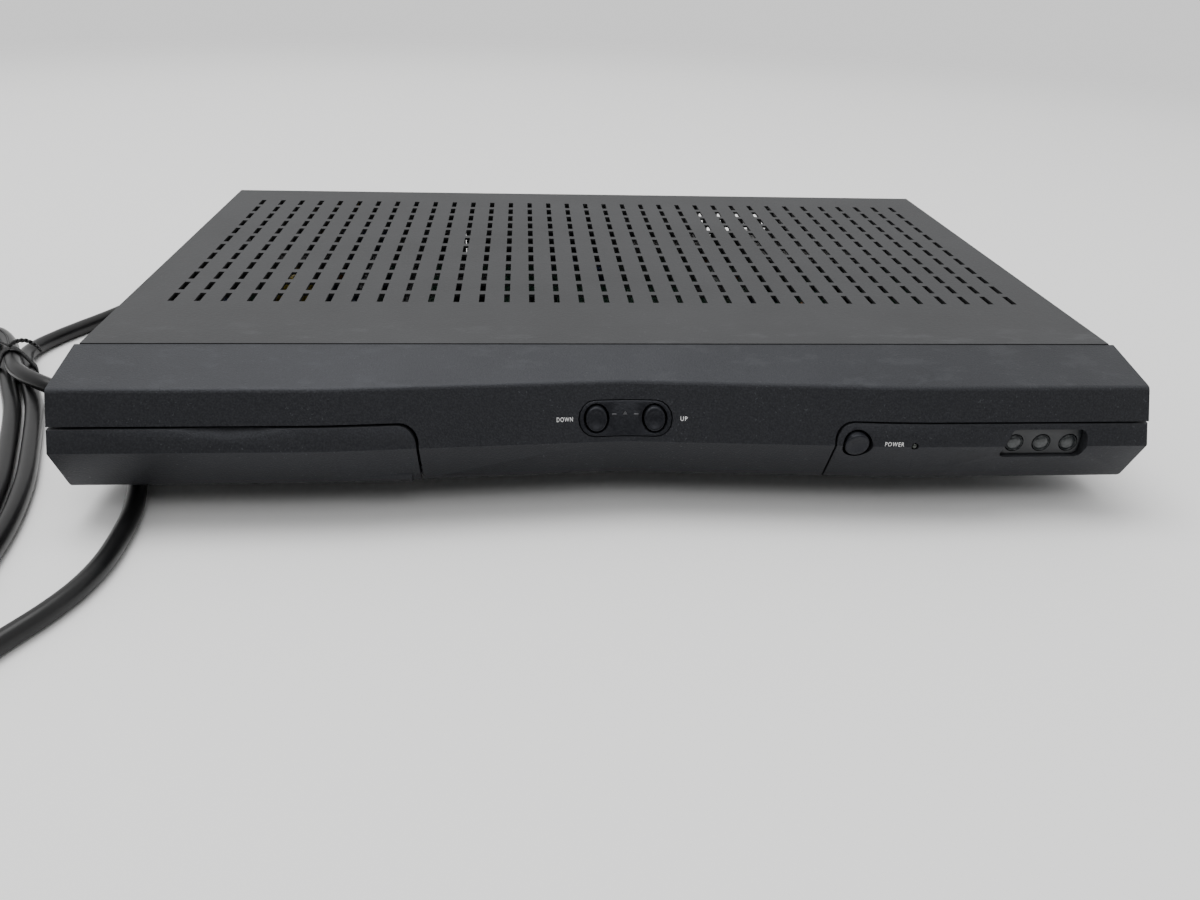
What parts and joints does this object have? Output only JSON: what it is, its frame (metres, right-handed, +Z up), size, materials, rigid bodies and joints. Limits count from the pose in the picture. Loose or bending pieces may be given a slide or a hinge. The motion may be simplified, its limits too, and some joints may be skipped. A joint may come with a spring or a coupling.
{
  "type": "satellite television receiver",
  "caption": "Slim black set-top satellite receiver: slotted steel cover, moulded front with card door, channel and power buttons, rear sockets, mains lead in a tied hank.",
  "frame": {"origin": "middle of the case from connector tips to nose, on the surface that the feet stand on", "axes": "+X to the right seen from the front, -Y out of the front, +Z up"},
  "size_m": [0.4951, 0.4447, 0.052],
  "materials": {
    "steel": "fine textured black paint",
    "zinc": "zinc plated sheet",
    "moulding": "fine sparked texture",
    "button": "satin",
    "smoked": "polished, smoked",
    "lens": "moulded lens",
    "light": "clear tinted",
    "rubber": "matte",
    "cord": "soft sheen vinyl",
    "board": "solder resist",
    "chip": "moulded epoxy",
    "nickel": "nickel plated",
    "winding": "taped winding",
    "sleeve": "shrink sleeve",
    "ribbon": "flat cable"
  },
  "bodies": {
    "receiver_body": {"antenna_connector": "nickel", "bulk_capacitor": "sleeve", "card_reader": "chip", "channel_plate": "button", "chassis_tray": "zinc", "cord_hank": "cord", "cord_tail": "cord", "cover_screw_left": "nickel", "cover_screw_middle": "nickel", "cover_screw_right": "nickel", "decoder_chip": "chip", "decoder_heatsink": "chip", "down_switch": "chip", "foot_front_left": "rubber", "foot_front_right": "rubber", "foot_rear_left": "rubber", "foot_rear_right": "rubber", "front_bezel": "moulding", "front_board": "board", "infrared_receiver": "smoked", "jack_block": "chip", "left_audio_jack": "nickel", "left_lens": "lens", "main_board": "board", "mains_choke": "winding", "mains_fuse": "nickel", "memory_chip_front": "chip", "memory_chip_rear": "chip", "middle_lens": "lens", "modulator_can": "nickel", "narrow_blade": "nickel", "phone_socket": "chip", "power_board": "board", "power_cord": "cord", "power_heatsink": "zinc", "power_light": "light", "power_plug": "cord", "power_switch": "chip", "ribbon_cable": "ribbon", "right_audio_jack": "nickel", "right_fascia": "moulding", "right_lens": "lens", "s_video_socket": "chip", "satellite_connector": "nickel", "sensor_window": "smoked", "strain_relief": "rubber", "top_cover": "steel", "transformer": "winding", "tuner_can": "nickel", "tv_connector": "nickel", "twist_tie": "rubber", "up_switch": "chip", "video_jack": "nickel", "wide_blade": "nickel"},
    "card_door_body": {"card_door": "moulding"},
    "down_button_body": {"down_button": "button"},
    "up_button_body": {"up_button": "button"},
    "power_button_body": {"power_button": "button"}
  },
  "joints": [
    {"name": "card_door_hinge", "type": "hinge", "parent": "receiver_body", "child": "card_door_body", "pos_m": [-0.125, -0.11483, 0.0151], "axis": [1, 0, 0], "range_deg": [0, 75]},
    {"name": "down_button_press", "type": "slide", "parent": "receiver_body", "child": "down_button_body", "axis": [0, 1, 0], "range_m": [0, 0.0012], "stiffness_N_per_m": 400, "springref_m": -0.001},
    {"name": "up_button_press", "type": "slide", "parent": "receiver_body", "child": "up_button_body", "axis": [0, 1, 0], "range_m": [0, 0.0012], "stiffness_N_per_m": 400, "springref_m": -0.001},
    {"name": "power_button_press", "type": "slide", "parent": "receiver_body", "child": "power_button_body", "axis": [0, 1, 0], "range_m": [0, 0.0012], "stiffness_N_per_m": 400, "springref_m": -0.001}
  ]
}
